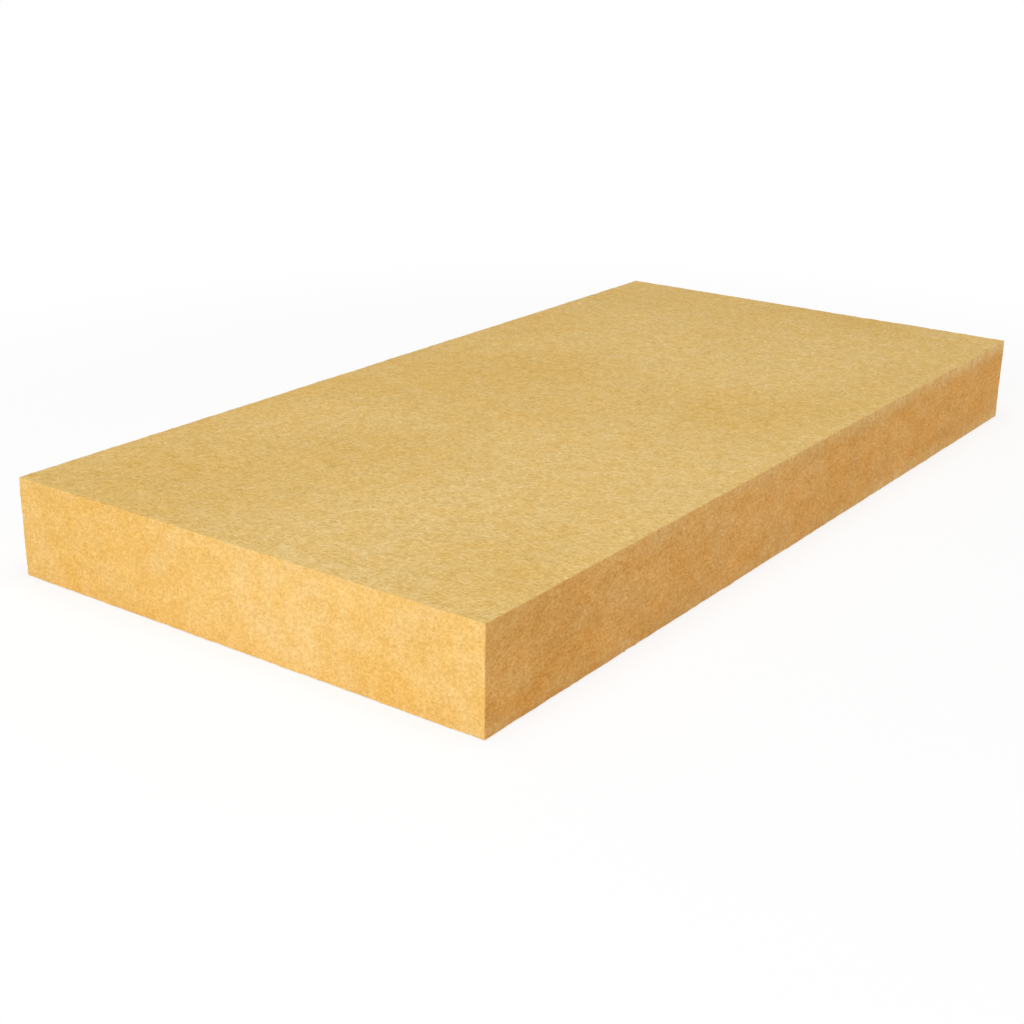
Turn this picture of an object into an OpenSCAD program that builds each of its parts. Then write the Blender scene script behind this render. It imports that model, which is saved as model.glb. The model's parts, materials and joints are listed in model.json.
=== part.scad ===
// Insulation panel: one board of felted wood fibre, sawn to size and lying flat.
// Millimetres. The origin is at the centre of the underside, with +X across the
// width, +Y along the length and +Z up through the thickness.

/* [Board] */
// Length of the board, along Y
panel_length = 1200; // [300:10:3000]
// Width of the board, along X
panel_width = 600; // [200:5:1250]
// Thickness of the board, along Z
panel_thickness = 110; // [20:1:300]

/* [Edges] */
// Radius that the eight edges of the top and bottom faces are eased to
arris_radius = 1; // [0.5:0.5:8]
// Radius that the four upright edges are eased to
corner_radius = 1.5; // [0.5:0.5:20]

/* [Smoothness] */
// Segments in a full circle
$fn = 64; // [16:8:128]

/* [Hidden] */

// Golden tan of the fibre
fibre_colour = "#DDB56C";
// How far the two sections run past the board, so that only their outlines cut it
overrun = 10;

// A rectangle centred on the origin, with its four corners rounded
module rounded_rectangle(size_x, size_y, radius) {
    square([size_x, size_y - 2 * radius], center = true);
    square([size_x - 2 * radius, size_y], center = true);
    for (side_x = [-1, 1], side_y = [-1, 1])
        translate([side_x * (size_x / 2 - radius), side_y * (size_y / 2 - radius)])
            circle(r = radius);
}

// The board's outline from above, which rounds the upright edges
module plan() {
    linear_extrude(panel_thickness)
        rounded_rectangle(panel_width, panel_length, corner_radius);
}

// The section across the board, run along Y, which eases the long edges
module cross_section() {
    translate([0, 0, panel_thickness / 2])
        rotate([90, 0, 0])
            linear_extrude(panel_length + 2 * overrun, center = true)
                rounded_rectangle(panel_width, panel_thickness, arris_radius);
}

// The section along the board, run along X, which eases the short edges
module long_section() {
    translate([0, 0, panel_thickness / 2])
        rotate([90, 0, 90])
            linear_extrude(panel_width + 2 * overrun, center = true)
                rounded_rectangle(panel_length, panel_thickness, arris_radius);
}

module insulation_panel() {
    color(fibre_colour)
        intersection() {
            plan();
            cross_section();
            long_section();
        }
}

insulation_panel();
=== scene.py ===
import json
import math

import bpy
from mathutils import Matrix, Vector

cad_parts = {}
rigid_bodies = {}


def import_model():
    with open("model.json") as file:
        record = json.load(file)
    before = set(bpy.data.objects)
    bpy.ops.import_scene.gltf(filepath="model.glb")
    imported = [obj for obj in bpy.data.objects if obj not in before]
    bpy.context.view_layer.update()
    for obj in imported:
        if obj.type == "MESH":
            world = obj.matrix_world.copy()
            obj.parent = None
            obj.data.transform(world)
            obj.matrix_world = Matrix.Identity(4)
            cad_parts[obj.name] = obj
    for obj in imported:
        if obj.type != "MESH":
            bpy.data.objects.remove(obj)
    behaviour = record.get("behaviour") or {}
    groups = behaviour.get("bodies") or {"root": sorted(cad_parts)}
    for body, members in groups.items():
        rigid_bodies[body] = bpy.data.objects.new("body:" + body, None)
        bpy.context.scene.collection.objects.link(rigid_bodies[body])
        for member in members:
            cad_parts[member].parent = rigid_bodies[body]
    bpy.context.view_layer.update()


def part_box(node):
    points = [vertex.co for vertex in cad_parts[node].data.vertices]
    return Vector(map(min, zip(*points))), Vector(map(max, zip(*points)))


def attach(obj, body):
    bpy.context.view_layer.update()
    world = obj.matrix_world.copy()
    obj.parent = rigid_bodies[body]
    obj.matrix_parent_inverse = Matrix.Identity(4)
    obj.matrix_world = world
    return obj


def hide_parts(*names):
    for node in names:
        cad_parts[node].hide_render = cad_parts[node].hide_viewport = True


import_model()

# Wood-fibre insulation board: softwood fibres felted dry, pressed to a rigid slab and sawn to size.
# The two broad faces are pressed, so their fibres lie flat. The four narrow faces are sawn.

MM = 0.001
X, Y, Z = 0, 1, 2

(low_x, low_y, low_z), (high_x, high_y, high_z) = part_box("insulation_panel")
SIZE = Vector((high_x - low_x, high_y - low_y, high_z - low_z))
MIDDLE = Vector((low_x + high_x, low_y + high_y, low_z + high_z)) / 2


def deselect_all():
    if bpy.context.mode != "OBJECT":
        bpy.ops.object.mode_set(mode="OBJECT")
    bpy.ops.object.select_all(action="DESELECT")


def linear(hex_colour):
    """An sRGB hex colour as linear red, green and blue, with alpha 1."""
    channels = [int(hex_colour[i:i + 2], 16) / 255 for i in (1, 3, 5)]
    return [c / 12.92 if c <= 0.04045 else ((c + 0.055) / 1.055) ** 2.4 for c in channels] + [1.0]


def add_node(tree, kind, settings=None, links=None):
    """Adds a node. Settings are its properties or the values of its inputs. Links feed its inputs."""
    node = tree.nodes.new(kind)
    for name, value in (settings or {}).items():
        if isinstance(name, str) and hasattr(node, name):
            setattr(node, name, value)
        else:
            node.inputs[name].default_value = value
    for name, source in (links or {}).items():
        socket = source.outputs[0] if isinstance(source, bpy.types.Node) else source
        tree.links.new(socket, node.inputs[name])
    return node


# ---------------------------------------------------------------- the board

CELL = 4.6 * MM           # side of one mesh cell: small enough for lumps 11 mm across
CORNER_RADIUS = 1.5 * MM  # the four upright corners
ARRIS_RADIUS = 1 * MM     # the edges round the top and round the underside
SUPPORT = 0.8 * MM        # a narrow strip that keeps each face flat right up to its rounded edge

ALONG = 0.99              # the cosine from which an edge counts as running along an axis
NEAR_FACE = 0.49          # as a share of the thickness, from the middle
SMOOTH_ANGLE = math.radians(50)

MAP_NAME = "OFBake"       # each piece's own map
MAP_MARGIN = 0.005        # as a share of the map's width
MAP_SPAN = 2.0            # metres of board across the map, before it is drawn out to fill it

# Relief, as (name, size of a lump, depth). Depth goes inwards from the pressed or sawn plane.
RELIEF = (
    ("slow_swell", 140 * MM, 0.5 * MM),
    ("felt_lumps", 34 * MM, 0.5 * MM),
    ("torn_grain", 11 * MM, 0.6 * MM),
)
RELIEF_PEAK = 0.8         # the texture value that stays on the plane
RELIEF_CONTRAST = 1.0

# Handling crumbles the edges: bites about a centimetre long, half a millimetre deep.
WORN_BITE = 9 * MM
WORN_DEPTH = 0.5 * MM
WORN_REACH = 3 * MM       # how far onto each face the wear runs
WORN_CONTRAST = 2.0


def add_blank(name):
    """A cube scaled to the board's size, with its place in its mesh. Leaves it in edit mode."""
    deselect_all()
    bpy.ops.mesh.primitive_cube_add(size=1, location=MIDDLE)
    blank = bpy.context.object
    blank.name = name
    blank.scale = SIZE
    bpy.ops.object.transform_apply(location=True, rotation=True, scale=True)
    bpy.ops.object.mode_set(mode="EDIT")
    bpy.ops.mesh.select_mode(type="EDGE")
    return blank


def select_edges(board, wanted):
    """Selects the edges for which wanted(edge vector, edge middle) is true, and enters edit mode."""
    bpy.ops.object.mode_set(mode="OBJECT")
    mesh = board.data
    for item in list(mesh.polygons) + list(mesh.vertices):
        item.select = False
    for edge in mesh.edges:
        start, end = (mesh.vertices[i].co for i in edge.vertices)
        edge.select = wanted(end - start, (start + end) / 2)
    bpy.ops.object.mode_set(mode="EDIT")


def runs_along(vector, axis):
    return abs(vector[axis]) > ALONG * vector.length


def round_edges(board):
    select_edges(board, lambda vector, middle: runs_along(vector, Z))
    bpy.ops.mesh.bevel(offset=CORNER_RADIUS, segments=4, affect="EDGES")
    select_edges(board, lambda vector, middle: abs(middle.z - MIDDLE.z) > NEAR_FACE * SIZE.z)
    bpy.ops.mesh.bevel(offset=ARRIS_RADIUS, segments=2, affect="EDGES")


def support_edges():
    """Cuts a narrow strip beside each rounded edge."""
    for axis, radius in ((X, CORNER_RADIUS), (Y, CORNER_RADIUS), (Z, ARRIS_RADIUS)):
        normal = Vector.Fill(3, 0.0)
        normal[axis] = 1.0
        for side in (-1, 1):
            bpy.ops.mesh.select_all(action="SELECT")
            bpy.ops.mesh.bisect(plane_co=MIDDLE + side * (SIZE[axis] / 2 - radius - SUPPORT) * normal,
                                plane_no=normal)


def unwrap(board):
    """Lays each face of the board flat in its own part of the map, all drawn out to fill it."""
    board.data.uv_layers[0].name = MAP_NAME
    bpy.ops.mesh.select_all(action="SELECT")
    bpy.ops.uv.cube_project(cube_size=MAP_SPAN)
    bpy.ops.uv.select_all(action="SELECT")
    bpy.ops.uv.pack_islands(rotate=True, margin=MAP_MARGIN, shape_method="AABB")
    bpy.ops.object.mode_set(mode="OBJECT")
    corners = board.data.uv_layers[0].data
    highest = max(corner.uv.y for corner in corners)
    for corner in corners:
        corner.uv.y *= (1 - MAP_MARGIN) / highest


def cut_into_cells(board):
    """Cuts along each axis in two rounds, because one round makes no more than 100 cuts."""
    for axis in (Y, X, Z):
        first_round = round(math.sqrt(SIZE[axis] / CELL))
        second_round = round(SIZE[axis] / CELL / first_round)
        for parts in (first_round, second_round):
            select_edges(board, lambda vector, middle: runs_along(vector, axis) and vector.length > 2 * CELL)
            bpy.ops.mesh.subdivide(number_cuts=parts - 1)
    bpy.ops.object.mode_set(mode="OBJECT")


def sink_lumps(board, name, lump, depth, contrast, group=""):
    """Sinks the board's surface inwards in lumps of one size, all over or by the weights of a group."""
    texture = bpy.data.textures.new(name, type="CLOUDS")
    texture.noise_scale = lump
    texture.noise_depth = 1
    texture.contrast = contrast
    relief = board.modifiers.new(name, "DISPLACE")
    relief.texture = texture
    relief.texture_coords = "LOCAL"
    relief.mid_level = RELIEF_PEAK
    relief.strength = depth
    relief.vertex_group = group
    bpy.ops.object.modifier_apply(modifier=name)


def press_relief(board):
    for name, lump, depth in RELIEF:
        sink_lumps(board, name, lump, depth, RELIEF_CONTRAST)


def wear_edges(board):
    """Weighs each point by how near it lies to an edge, and sinks bites into the board by that weight."""
    worn = board.vertex_groups.new(name="worn_edges")
    for vertex in board.data.vertices:
        gaps = sorted(SIZE[axis] / 2 - abs(vertex.co[axis] - MIDDLE[axis]) for axis in (X, Y, Z))
        if gaps[1] < WORN_REACH:
            worn.add([vertex.index], 1 - max(gaps[1], 0) / WORN_REACH, "REPLACE")
    sink_lumps(board, "worn_bites", WORN_BITE, WORN_DEPTH, WORN_CONTRAST, "worn_edges")


def keep_inside(piece):
    """Presses flat against the panel's outer planes whatever would stand proud of them."""
    for vertex in piece.data.vertices:
        offset = vertex.co - MIDDLE
        for axis in (X, Y, Z):
            limit = SIZE[axis] / 2
            offset[axis] = min(max(offset[axis], -limit), limit)
        vertex.co = MIDDLE + offset


def model_board():
    board = add_blank("felted_board")
    round_edges(board)
    support_edges()
    unwrap(board)
    cut_into_cells(board)
    wear_edges(board)
    press_relief(board)
    keep_inside(board)
    bpy.ops.object.shade_smooth_by_angle(angle=SMOOTH_ANGLE)
    return board


# ---------------------------------------------------------------- felt materials

# Each way that fibres run, as (yaw, pitch). Pressing lays them flat, and the felting line combs
# them mostly one way. A saw shows them at all angles.
FLAT_WAYS = ((0.5, 0.0), (0.1, 0.0), (-0.3, 0.0), (-0.7, 0.0), (-1.1, 0.0), (-1.5, 0.0))
ALL_WAYS = ((0.0, 0.1), (0.85, -0.5), (1.6, 0.9), (2.4, -0.15), (0.5, 1.35))
LONG_WAYS = ((0.3, 0.1), (0.85, -0.4), (1.6, 0.9), (2.2, -0.1), (0.8, 1.1))

RIDGES = (0.45, 0.85)     # the noise values at the foot and the crown of a fibre
GAPS = (0.37, 0.25)       # the noise values at the rim and the bottom of a gap
GAP_DEPTH = 0.5           # as a share of a fibre's height
GAP_LENGTH = 0.7          # as a share of a fibre's length
GAP_WIDTH = 0.6           # as a share of a fibre's width
NEXT_WAY = (13.7, 5.3, 7.1)  # mm from one way's noise to the next, so that no two ways look alike

BEND_SIZE = 8.0           # mm, the length over which a fibre curves
MOTTLE_SIZE = 22.0        # mm, clots of fibre
WARMTH_SIZE = 45.0        # mm, patches of heartwood and sapwood fibre, redder and greyer
WARMTH_ASIDE = (61.0, 23.0, 47.0)  # mm, so that the warm patches fall apart from the clots
DRIFT_SIZE = 300.0        # mm, slow changes from felting and drying
PATCH_NOISE = (0.36, 0.64)  # the noise values outside a patch and at its heart
PATCH_ROUGHNESS = 0.7

# Felt is matt, with very little shine.
FELT_ROUGHNESS = 0.95
FELT_SPECULAR = 0.2
FIBRE_BUMP = 0.4
FIBRE_HEIGHT = 0.8 * MM

# Painted light on the long sides: a pale band of short upright streaks next to each broad face, which fades
# out below the arris. It brightens the side along its top and bottom edges, and more towards its far end.
PAINTED_LIGHT_DEPTH = 24.0         # mm
PAINTED_LIGHT_STREAK = (3.5, 3.5, 26.0)      # mm
PAINTED_LIGHT_NOISE = (0.25, 0.75)          # the noise values beside a pale streak and on it
PAINTED_LIGHT_COLOUR = "#FFF0B0"
PAINTED_LIGHT_SHARES = (0.25, 0.95)         # how much of it shows at the side's near end and at its far end

# A Mix node has several sockets of each name, so its colour sockets go by number.
MIX_FACTOR, MIX_FIRST, MIX_SECOND, MIX_RESULT = 0, 6, 7, 2


def place_in_mm(tree):
    where = add_node(tree, "ShaderNodeTexCoord")
    return add_node(tree, "ShaderNodeVectorMath", {"operation": "SCALE", "Scale": 1 / MM},
                    {0: where.outputs["Object"]})


def bend_place(tree, place, bend):
    """Moves each point by up to half of bend millimetres, so that no fibre is quite straight."""
    sway = add_node(tree, "ShaderNodeTexNoise", {"Scale": 1 / BEND_SIZE, "Detail": 1.0}, {"Vector": place})
    half = bend / 2
    push = add_node(tree, "ShaderNodeVectorMath",
                    {"operation": "MULTIPLY_ADD", 1: (bend, bend, bend), 2: (-half, -half, -half)},
                    {0: sway.outputs["Color"]})
    return add_node(tree, "ShaderNodeVectorMath", {"operation": "ADD"}, {0: place, 1: push})


def crossing_strokes(tree, place, ways, length, width, operation):
    """Long thin noise in several directions, joined by MAXIMUM as ridges or by MINIMUM as gaps."""
    height = None
    for number, (yaw, pitch) in enumerate(ways):
        shift = [number * step for step in NEXT_WAY]
        turned = add_node(tree, "ShaderNodeMapping", {"Rotation": (0, pitch, yaw), "Location": shift},
                          {"Vector": place})
        drawn = add_node(tree, "ShaderNodeVectorMath",
                         {"operation": "MULTIPLY", 1: (1 / length, 1 / width, 1 / width)}, {0: turned})
        layer = add_node(tree, "ShaderNodeTexNoise", {"Scale": 1.0, "Detail": 1.0}, {"Vector": drawn})
        if height is None:
            height = layer
        else:
            height = add_node(tree, "ShaderNodeMath", {"operation": operation}, {0: height, 1: layer})
    return height


def crossing_fibres(tree, place, ways, length, width):
    """Fibres over one another, from 0 at their feet to 1 on the highest, with thin gaps that go deeper.

    The gaps run only the second, third and fourth ways.
    """
    ridges = crossing_strokes(tree, place, ways, length, width, "MAXIMUM")
    ridges = add_node(tree, "ShaderNodeMapRange", {"From Min": RIDGES[0], "From Max": RIDGES[1]},
                      {"Value": ridges})
    gaps = crossing_strokes(tree, place, ways[1:4], GAP_LENGTH * length, GAP_WIDTH * width, "MINIMUM")
    gaps = add_node(tree, "ShaderNodeMapRange",
                    {"From Min": GAPS[0], "From Max": GAPS[1], "To Max": GAP_DEPTH}, {"Value": gaps})
    return add_node(tree, "ShaderNodeMath", {"operation": "SUBTRACT"}, {0: ridges, 1: gaps})


def patches(tree, place, size, detail):
    """Soft patches about size millimetres across, from 0 to 1."""
    noise = add_node(tree, "ShaderNodeTexNoise",
                     {"Scale": 1 / size, "Detail": detail, "Roughness": PATCH_ROUGHNESS}, {"Vector": place})
    return add_node(tree, "ShaderNodeMapRange",
                    {"From Min": PATCH_NOISE[0], "From Max": PATCH_NOISE[1]}, {"Value": noise})


def colour_steps(tree, value, steps):
    """A colour ramp through (position, hex colour) steps. The first two take the ramp's own two stops."""
    ramp = add_node(tree, "ShaderNodeValToRGB", {}, {"Fac": value})
    elements = ramp.color_ramp.elements
    for number, (position, hex_colour) in enumerate(steps):
        step = elements[number] if number < 2 else elements.new(position)
        step.position = position
        step.color = linear(hex_colour)
    return ramp


def tinted(tree, colour, value, low_tint, high_tint="#FFFFFF"):
    """The colour multiplied by the low tint where value is 0, and by the high tint where it is 1."""
    tint = colour_steps(tree, value, ((0.0, low_tint), (1.0, high_tint)))
    mix = add_node(tree, "ShaderNodeMix", {"data_type": "RGBA", "blend_type": "MULTIPLY", MIX_FACTOR: 1.0},
                   {MIX_FIRST: colour, MIX_SECOND: tint})
    return mix.outputs[MIX_RESULT]


def painted_light_share(tree, place, strength):
    """How much painted light shows: up to strength next to a broad face, 0 from its set depth inwards, and
    more along the side towards its far end.
    """
    spot = add_node(tree, "ShaderNodeSeparateXYZ", {}, {0: place})
    from_middle = add_node(tree, "ShaderNodeMath", {"operation": "SUBTRACT", 1: MIDDLE.z / MM},
                           {0: spot.outputs["Z"]})
    from_middle = add_node(tree, "ShaderNodeMath", {"operation": "ABSOLUTE"}, {0: from_middle})
    half = SIZE.z / MM / 2
    fade = add_node(tree, "ShaderNodeMapRange",
                    {"interpolation_type": "SMOOTHERSTEP", "From Min": half - PAINTED_LIGHT_DEPTH, "From Max": half,
                     "To Max": strength}, {"Value": from_middle})
    drawn = add_node(tree, "ShaderNodeVectorMath", {"operation": "DIVIDE", 1: PAINTED_LIGHT_STREAK}, {0: place})
    fibres = add_node(tree, "ShaderNodeTexNoise", {"Scale": 1.0, "Detail": 1.0}, {"Vector": drawn})
    fibres = add_node(tree, "ShaderNodeMapRange", {"From Min": PAINTED_LIGHT_NOISE[0], "From Max": PAINTED_LIGHT_NOISE[1]},
                      {"Value": fibres})
    along = add_node(tree, "ShaderNodeMapRange",
                     {"interpolation_type": "SMOOTHSTEP", "From Min": low_y / MM, "From Max": high_y / MM,
                      "To Min": PAINTED_LIGHT_SHARES[0], "To Max": PAINTED_LIGHT_SHARES[1]}, {"Value": spot.outputs["Y"]})
    share = add_node(tree, "ShaderNodeMath", {"operation": "MULTIPLY"}, {0: fade, 1: fibres})
    return add_node(tree, "ShaderNodeMath", {"operation": "MULTIPLY"}, {0: share, 1: along})


def new_material(name):
    material = bpy.data.materials.new(name)
    material.use_nodes = True
    return material, material.node_tree


def felt_material(name, ways, bend, length, width, stretch, fibres, mottle, warmth, drift, painted_light_band):
    """Felt in strokes of length by width millimetres, whose colour runs through the three of fibres.

    mottle, warmth and drift tint it in patches. stretch draws out the first two. The last argument is the
    most that a pale band of painted light shows along the top and bottom edges. Loose fibres carry an
    attribute named tone that makes each one paler or darker than the felt. The board has no such attribute,
    and a missing one reads as 0.
    """
    material, tree = new_material(name)
    place = place_in_mm(tree)
    height = crossing_fibres(tree, bend_place(tree, place, bend), ways, length, width)
    tone = add_node(tree, "ShaderNodeAttribute", {"attribute_name": "tone"})
    shade = add_node(tree, "ShaderNodeMath", {"operation": "ADD"}, {0: height, 1: tone.outputs["Fac"]})
    hollow, middle, pale = fibres
    colour = colour_steps(tree, shade, ((0.0, hollow), (1.0, pale), (0.5, middle))).outputs[0]
    spot = add_node(tree, "ShaderNodeVectorMath", {"operation": "DIVIDE", 1: stretch}, {0: place})
    colour = tinted(tree, colour, patches(tree, spot, MOTTLE_SIZE, 3.0), mottle)
    aside = add_node(tree, "ShaderNodeVectorMath", {"operation": "ADD", 1: WARMTH_ASIDE}, {0: spot})
    colour = tinted(tree, colour, patches(tree, aside, WARMTH_SIZE, 1.0), *warmth)
    colour = tinted(tree, colour, patches(tree, place, DRIFT_SIZE, 1.0), drift)
    # Painted light: a pale band along the top and bottom edges, stronger towards the far end.
    if painted_light_band:
        paler = add_node(tree, "ShaderNodeMix", {"data_type": "RGBA", MIX_SECOND: linear(PAINTED_LIGHT_COLOUR)},
                         {MIX_FACTOR: painted_light_share(tree, place, painted_light_band), MIX_FIRST: colour})
        colour = paler.outputs[MIX_RESULT]
    relief = add_node(tree, "ShaderNodeBump", {"Strength": FIBRE_BUMP, "Distance": FIBRE_HEIGHT},
                      {"Height": height})
    shader = tree.nodes["Principled BSDF"]
    shader.inputs["Roughness"].default_value = FELT_ROUGHNESS
    shader.inputs["Specular IOR Level"].default_value = FELT_SPECULAR
    tree.links.new(colour, shader.inputs["Base Color"])
    tree.links.new(relief.outputs[0], shader.inputs["Normal"])
    return material


def pressed_felt():
    """Softwood fibre, felted dry and hot pressed: pale straw, quite matt, combed mostly one way.

    The eye sees bundles of fibre about 5 mm long and half a millimetre wide. They are too fine to show
    on a panel of this size, so a stroke is drawn 9 mm by 2.8 mm.
    """
    return felt_material(
        "dry_felted_wood_fibre_pressed", ways=FLAT_WAYS, bend=3.5, length=9.0, width=2.8,
        stretch=(1, 1, 1), fibres=("#D5AE66", "#E8C888", "#F5DCA3"), mottle="#FAF5E2",
        warmth=("#FFFDF6", "#FDFEFF"), drift="#F9F4E4", painted_light_band=0)


def cross_cut_felt():
    """The same felt sawn across: fibre ends and torn fibres at all angles, yellower and clotted.

    A stroke is drawn 8.5 mm by 2.9 mm, about twice as long and five times as wide as a real bundle.
    """
    return felt_material(
        "dry_felted_wood_fibre_cross_cut", ways=ALL_WAYS, bend=4.0, length=8.5, width=2.9,
        stretch=(1, 1, 1), fibres=("#E7BC73", "#F6CF8A", "#FFE3A4"), mottle="#FAF2DA",
        warmth=("#FFFDF4", "#FDFEFF"), drift="#FBF5E2", painted_light_band=0)


def rip_cut_felt_painted_shade():
    """The same felt sawn along: the saw drags fibres and clots lengthways. Its colours are painted shade:
    the cross-cut felt's, made redder and more orange as the felt looks in the shade on the long sides.

    A stroke is drawn 11 mm by 2.9 mm, about twice as long and five times as wide as a real bundle.
    """
    # The colours are painted shade, and the last argument sets a pale band of painted light.
    return felt_material(
        "dry_felted_wood_fibre_rip_cut_painted_shade", ways=LONG_WAYS, bend=4.0, length=11.0, width=2.9,
        stretch=(1, 1.6, 1), fibres=("#E7A95E", "#F7C379", "#FFDA91"), mottle="#F7ECD3",
        warmth=("#FFFCF0", "#FAFDFF"), drift="#F8F2E0", painted_light_band=0.5)


# ---------------------------------------------------------------- loose fibres

# Length, half width and sideways bow of each kind of strand.
PRESSED_STRANDS = (
    (10 * MM, 0.7 * MM, 0.3 * MM),
    (7 * MM, 0.7 * MM, -0.2 * MM),
    (13 * MM, 0.65 * MM, 0.5 * MM),
)
SAWN_STRANDS = (
    (6 * MM, 0.8 * MM, 0.4 * MM),
    (4 * MM, 0.8 * MM, -0.2 * MM),
    (7 * MM, 0.7 * MM, 0.6 * MM),
)
STRAND_TRUNK = 0.4        # the middle of a strand, between its points, as a share of its length
STRAND_TIP = 0.1          # as a share of its half width: a point nearer the axis than that is a tip
STRAND_FLATNESS = 0.25    # height over width: pressing flattens them
STRAND_SINK = 0.1 * MM    # how deep the middle of a strand lies in the felt
TONE_RANGE = (-0.4, 0.1)  # how much darker or paler than the felt a strand may be
SAME_WAY = 0.9            # the cosine from which a face counts as looking along a direction


def model_strand(name, length, radius, bow):
    """One closed fibre along X: a flattened three-sided rod, pointed at both ends and bowed sideways."""
    deselect_all()
    bpy.ops.mesh.primitive_cylinder_add(vertices=3, radius=radius, depth=length * STRAND_TRUNK,
                                        end_fill_type="TRIFAN", rotation=(0, math.pi / 2, 0))
    strand = bpy.context.object
    strand.name = name
    bpy.ops.object.transform_apply(location=True, rotation=True, scale=True)
    for vertex in strand.data.vertices:
        is_tip = Vector((vertex.co.y, vertex.co.z)).length < STRAND_TIP * radius
        if is_tip:
            vertex.co.x = math.copysign(length / 2, vertex.co.x)
        else:
            vertex.co.y += bow
        vertex.co.z *= STRAND_FLATNESS
    return strand


def gather_strands(name, kinds):
    strands = bpy.data.collections.new(name)
    bpy.context.scene.collection.children.link(strands)
    for number, (length, radius, bow) in enumerate(kinds):
        strand = model_strand("%s_%d" % (name, number), length, radius, bow)
        for home in list(strand.users_collection):
            home.objects.unlink(strand)
        strands.objects.link(strand)
    return strands


def throw_away(strands):
    for strand in list(strands.objects):
        bpy.data.objects.remove(strand)
    bpy.data.collections.remove(strands)


def scatter_tree(strands, density, lay, tilt, seed):
    """Geometry nodes that root strands at random all over a mesh, each turned and toned at random."""
    tree = bpy.data.node_groups.new("scatter_strands", "GeometryNodeTree")
    tree.interface.new_socket("Geometry", in_out="INPUT", socket_type="NodeSocketGeometry")
    tree.interface.new_socket("Geometry", in_out="OUTPUT", socket_type="NodeSocketGeometry")
    start = add_node(tree, "NodeGroupInput")
    points = add_node(tree, "GeometryNodeDistributePointsOnFaces", {"Density": density, "Seed": seed},
                      {"Mesh": start})
    kinds = add_node(tree, "GeometryNodeCollectionInfo",
                     {"Collection": strands, "Separate Children": True, "Reset Children": True})
    spin = add_node(tree, "FunctionNodeRandomValue",
                    {"data_type": "FLOAT_VECTOR", 0: (0, -tilt, lay[0]), 1: (0, tilt, lay[1]),
                     "Seed": seed + 1})
    turn = add_node(tree, "FunctionNodeRotateRotation", {"rotation_space": "LOCAL"},
                    {0: points.outputs["Rotation"], 1: spin})
    inwards = add_node(tree, "ShaderNodeVectorMath", {"operation": "SCALE", "Scale": -STRAND_SINK},
                       {0: points.outputs["Normal"]})
    sunk = add_node(tree, "GeometryNodeSetPosition", {},
                    {"Geometry": points.outputs["Points"], "Offset": inwards})
    placed = add_node(tree, "GeometryNodeInstanceOnPoints", {"Pick Instance": True},
                      {"Points": sunk, "Instance": kinds, "Rotation": turn})
    tone = add_node(tree, "FunctionNodeRandomValue",
                    {"data_type": "FLOAT", 2: TONE_RANGE[0], 3: TONE_RANGE[1], "Seed": seed + 2})
    toned = add_node(tree, "GeometryNodeStoreNamedAttribute",
                     {"data_type": "FLOAT", "domain": "INSTANCE", "Name": "tone"},
                     {"Geometry": placed, "Value": tone.outputs[1]})
    joined = add_node(tree, "GeometryNodeRealizeInstances", {}, {"Geometry": toned})
    add_node(tree, "NodeGroupOutput", {}, {"Geometry": joined})
    return tree


def axes_across(facing):
    return [axis for axis in (X, Y, Z) if not facing[axis]]


def copy_faces(board, name, facing, both_sides, rim):
    """A copy of the board's faces that look along facing and lie more than rim inside its outline.
    """
    deselect_all()
    board.select_set(True)
    bpy.context.view_layer.objects.active = board
    bpy.ops.object.duplicate()
    patch = bpy.context.object
    patch.name = name
    bpy.ops.mesh.uv_texture_remove()
    bpy.ops.object.vertex_group_remove(all=True)
    for item in list(patch.data.edges) + list(patch.data.vertices):
        item.select = False
    for face in patch.data.polygons:
        turned = face.normal.dot(facing)
        looks_there = abs(turned) > SAME_WAY if both_sides else turned > SAME_WAY
        gaps = [SIZE[axis] / 2 - abs(face.center[axis] - MIDDLE[axis]) for axis in axes_across(facing)]
        face.select = not (looks_there and min(gaps) > rim)
    bpy.ops.object.mode_set(mode="EDIT")
    bpy.ops.mesh.select_mode(type="FACE")
    bpy.ops.mesh.delete(type="FACE")
    bpy.ops.object.mode_set(mode="OBJECT")
    return patch


def lay_out_map(layer, facing, both_sides):
    """Maps the strands as they lie on the board. Where both its sides have them, each has half the map."""
    across = axes_across(facing)
    layout = layer.data.uv_layers[0]
    layout.name = MAP_NAME
    for corner in layer.data.loops:
        offset = layer.data.vertices[corner.vertex_index].co - MIDDLE
        u, v = (offset[axis] / SIZE[axis] + 0.5 for axis in across)
        if both_sides:
            v = (v + (offset.dot(facing) > 0)) / 2
        layout.data[corner.index].uv = (u, v)


def scatter_fibres(board, name, facing, both_sides, kinds, density, lay, tilt, material, seed):
    longest = max(length for length, radius, bow in kinds)
    layer = copy_faces(board, name, facing, both_sides, longest / 2)
    strands = gather_strands(name + "_strands", kinds)
    scatter = layer.modifiers.new("scatter", "NODES")
    scatter.node_group = scatter_tree(strands, density, lay, tilt, seed)
    deselect_all()
    bpy.context.view_layer.objects.active = layer
    layer.select_set(True)
    bpy.ops.object.modifier_apply(modifier="scatter")
    throw_away(strands)
    keep_inside(layer)
    lay_out_map(layer, facing, both_sides)
    layer.data.materials.clear()
    layer.data.materials.append(material)
    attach(layer, "root")


# ---------------------------------------------------------------- build the panel

FLAT_TILT = math.radians(3)  # how far a strand may tilt out of a pressed face
SAWN_TILT = math.radians(8)  # and out of a sawn one
COMBED = (-0.5, 1.5)      # the yaws that strands take on the pressed faces
ALL_ROUND = (0.0, math.tau)
PRESSED_DENSITY = 20000   # strands a square metre
SAWN_DENSITY = 35000
FELT_BY_AXIS = {Z: 0, Y: 1, X: 2}  # pressed, cross cut and rip cut, by the axis that a face looks along


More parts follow.
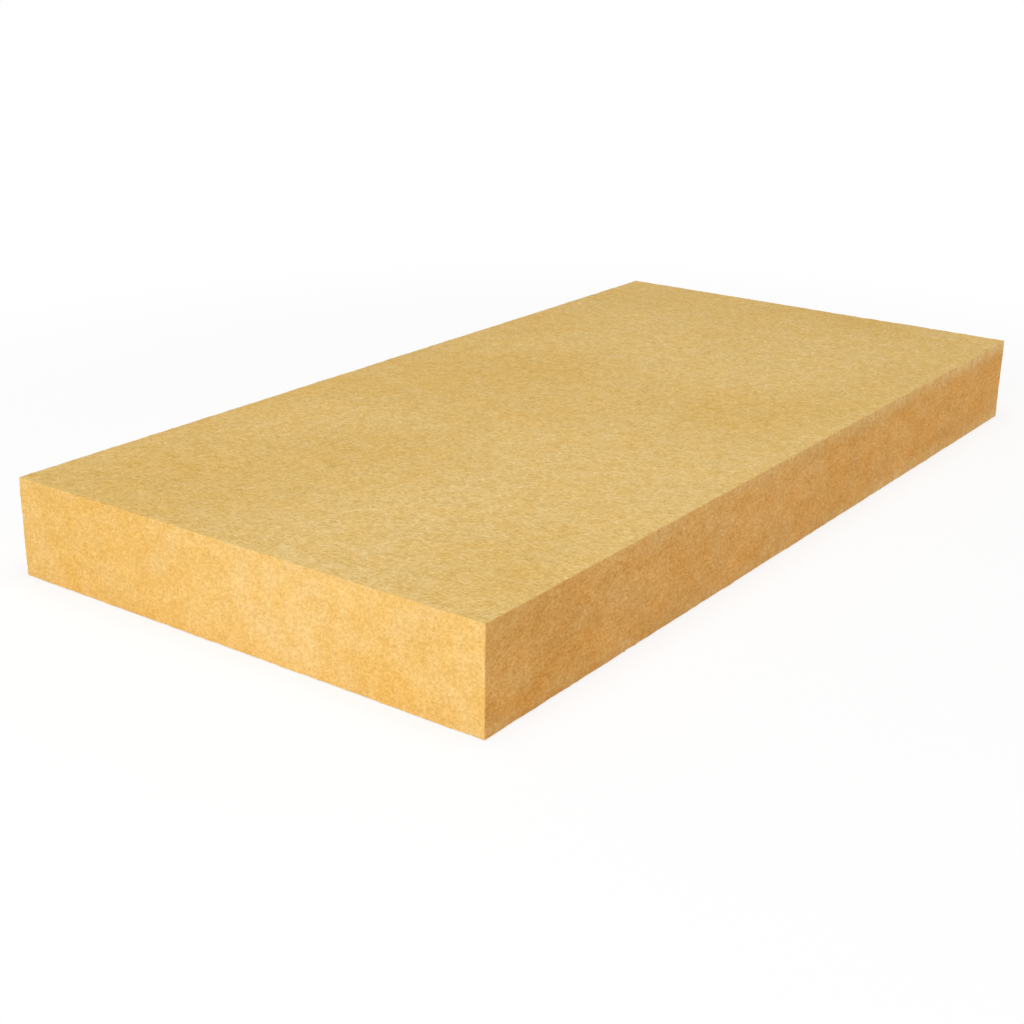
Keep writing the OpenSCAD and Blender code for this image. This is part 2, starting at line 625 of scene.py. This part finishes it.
def cover_board(board):
    """Gives each face its felt: pressed on the broad faces, cross cut on the ends, rip cut on the sides."""
    felts = (pressed_felt(), cross_cut_felt(), rip_cut_felt_painted_shade())
    for felt in felts:
        board.data.materials.append(felt)
    for face in board.data.polygons:
        reach = [abs(value) for value in face.normal]
        face.material_index = FELT_BY_AXIS[reach.index(max(reach))]
    return felts


def lay_pressed_fibres(board, pressed):
    for name, facing, seed in (("loose_fibres_top", Vector((0, 0, 1)), 10),
                               ("loose_fibres_underside", Vector((0, 0, -1)), 20)):
        scatter_fibres(board, name, facing, False, PRESSED_STRANDS, PRESSED_DENSITY, COMBED, FLAT_TILT,
                       pressed, seed)


def lay_sawn_fibres(board, cross_cut, rip_cut_painted_shade):
    for name, facing, felt, seed in (("loose_fibres_ends", Vector((0, 1, 0)), cross_cut, 30),
                                     ("loose_fibres_sides", Vector((1, 0, 0)), rip_cut_painted_shade, 40)):
        scatter_fibres(board, name, facing, True, SAWN_STRANDS, SAWN_DENSITY, ALL_ROUND, SAWN_TILT,
                       felt, seed)


board = model_board()
pressed, cross_cut, rip_cut_painted_shade = cover_board(board)
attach(board, "root")
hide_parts("insulation_panel")
lay_pressed_fibres(board, pressed)
lay_sawn_fibres(board, cross_cut, rip_cut_painted_shade)

# ---------------------------------------------------------------- floor, light and camera

FLOOR_SIZE = 40.0
FADE_START = 0.7          # metres from the board's middle, where the floor begins to fade to white
FADE_END = 1.45
PAPER = (0.92, 0.92, 0.92, 1)        # white paper, as the light on its way round meets it
FAINT_PAPER = (0.22, 0.22, 0.22, 1)  # what keeps the shadow as the camera sees it
PAPER_GLOW = 0.78                    # brings the lit floor up to white
WHITE = (1, 1, 1, 1)
STUDIO_LIGHT = 0.33                  # of the world, all round

deselect_all()
bpy.ops.mesh.primitive_plane_add(size=FLOOR_SIZE, location=(0, 0, low_z))
floor = bpy.context.object
floor.name = "studio_floor"


def seen_directly(tree):
    """1 for rays from the camera, or by way of a mirror or glass, and 0 for light on its way round."""
    rays = add_node(tree, "ShaderNodeLightPath")
    seen = add_node(tree, "ShaderNodeMath", {"operation": "MAXIMUM"},
                    {0: rays.outputs["Is Camera Ray"], 1: rays.outputs["Is Glossy Ray"]})
    return add_node(tree, "ShaderNodeMath", {"operation": "MAXIMUM"},
                    {0: seen, 1: rays.outputs["Is Transmission Ray"]})


def floor_material():
    """White paper that keeps a faint shadow and runs out to plain white with no horizon."""
    material, tree = new_material("white_paper_floor")
    tree.nodes.clear()
    paper = add_node(tree, "ShaderNodeBsdfDiffuse", {"Color": PAPER})
    faint_paper = add_node(tree, "ShaderNodeBsdfDiffuse", {"Color": FAINT_PAPER})
    glow = add_node(tree, "ShaderNodeEmission", {"Strength": PAPER_GLOW})
    white = add_node(tree, "ShaderNodeEmission", {"Strength": 1.0})
    near = add_node(tree, "ShaderNodeAddShader", {}, {0: faint_paper, 1: glow})
    where = add_node(tree, "ShaderNodeTexCoord")
    distance = add_node(tree, "ShaderNodeVectorMath", {"operation": "LENGTH"}, {0: where.outputs["Object"]})
    fade = add_node(tree, "ShaderNodeMapRange",
                    {"interpolation_type": "SMOOTHSTEP", "From Min": FADE_START, "From Max": FADE_END},
                    {"Value": distance.outputs["Value"]})
    shown = add_node(tree, "ShaderNodeMixShader", {}, {0: fade, 1: near, 2: white})
    surface = add_node(tree, "ShaderNodeMixShader", {}, {0: seen_directly(tree), 1: paper, 2: shown})
    add_node(tree, "ShaderNodeOutputMaterial", {}, {"Surface": surface})
    return material


floor.data.materials.append(floor_material())


def add_softbox(name, place, side, power):
    """A square lamp that faces the board."""
    deselect_all()
    bpy.ops.object.light_add(type="AREA", location=place)
    lamp = bpy.context.object
    lamp.name = name
    lamp.data.shape = "SQUARE"
    lamp.data.size = side
    lamp.data.energy = power
    lamp.rotation_euler = (MIDDLE - Vector(place)).to_track_quat("-Z", "Y").to_euler()


# Name, place, side in metres and power in watts.
SOFTBOXES = (
    ("key", (0.45, -3.35, 1.15), 1.6, 46.5),
    ("overhead", (0.2, -0.4, 3.0), 2.0, 46),
    ("fill", (1.1, 2.5, 0.4), 0.8, 14.4),
    ("back", (-2.4, 0.9, 0.6), 1.2, 9),
)

for name, place, side, power in SOFTBOXES:
    add_softbox(name, place, side, power)


def light_world():
    world = bpy.data.worlds.new("studio")
    bpy.context.scene.world = world
    world.use_nodes = True
    tree = world.node_tree
    tree.nodes.clear()
    light = add_node(tree, "ShaderNodeBackground", {"Color": WHITE, "Strength": STUDIO_LIGHT})
    white = add_node(tree, "ShaderNodeBackground", {"Color": WHITE, "Strength": 1.0})
    surface = add_node(tree, "ShaderNodeMixShader", {}, {0: seen_directly(tree), 1: light, 2: white})
    add_node(tree, "ShaderNodeOutputWorld", {}, {"Surface": surface})


light_world()

CAMERA_PLACE = Vector((1.0462, -1.6064, 0.6755))
CAMERA_AIM = Vector((0.0755, -0.2512, 0.055))
CAMERA_ROLL = math.radians(0.837)
LENS_MM = 58.13
SENSOR_MM = 36


def add_camera():
    deselect_all()
    bpy.ops.object.camera_add(location=CAMERA_PLACE)
    camera = bpy.context.object
    camera.name = "camera"
    turn = (CAMERA_AIM - CAMERA_PLACE).to_track_quat("-Z", "Y").to_matrix()
    camera.rotation_euler = (turn @ Matrix.Rotation(CAMERA_ROLL, 3, "Z")).to_euler()
    camera.data.lens = LENS_MM
    camera.data.sensor_width = SENSOR_MM
    bpy.context.scene.camera = camera


add_camera()
bpy.context.scene.view_settings.view_transform = "Standard"
